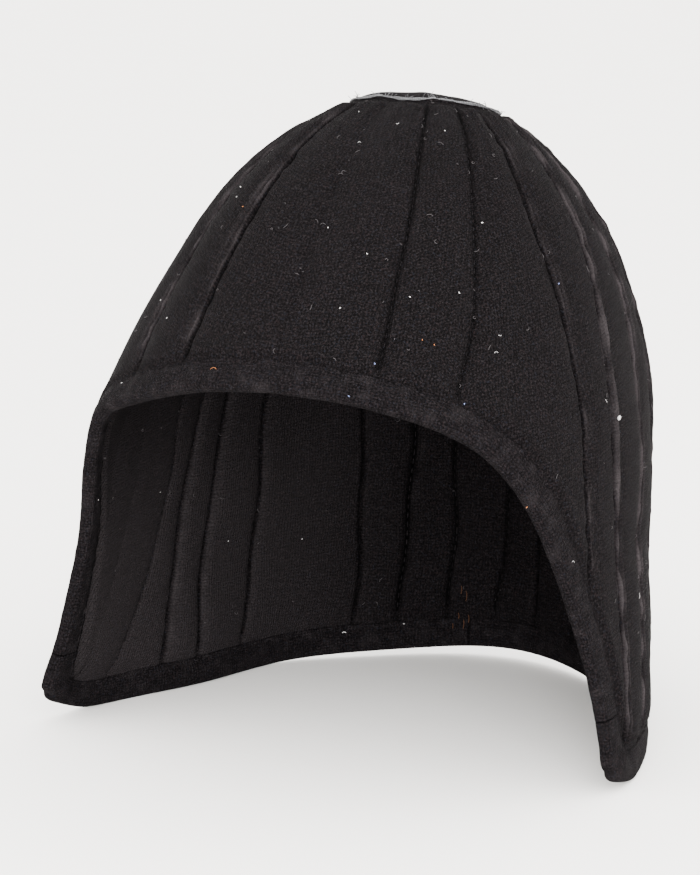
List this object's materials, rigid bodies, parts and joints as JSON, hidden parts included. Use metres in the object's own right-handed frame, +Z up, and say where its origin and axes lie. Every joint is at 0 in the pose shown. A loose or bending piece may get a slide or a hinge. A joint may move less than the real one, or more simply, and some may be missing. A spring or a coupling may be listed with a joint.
{
  "type": "quilted arming cap",
  "caption": "Padded cloth arming cap with vertical quilted channels, a round crown piece, an arched face opening and pointed side flaps.",
  "frame": {"origin": "on the floor under the middle of the cap, which stands on its hem", "axes": "+Z up, -Y the way the face opening looks, +X towards the wearer's left ear"},
  "size_m": [0.2222, 0.2144, 0.2298],
  "materials": {
    "canvas": "matt, coarse plain weave, nearly black",
    "binding": "matt, coarse plain weave, nearly black"
  },
  "bodies": {
    "root": {"quilted_shell": "canvas", "crown_piece": "canvas", "face_binding": "binding", "hem_binding": "binding"}
  },
  "joints": []
}
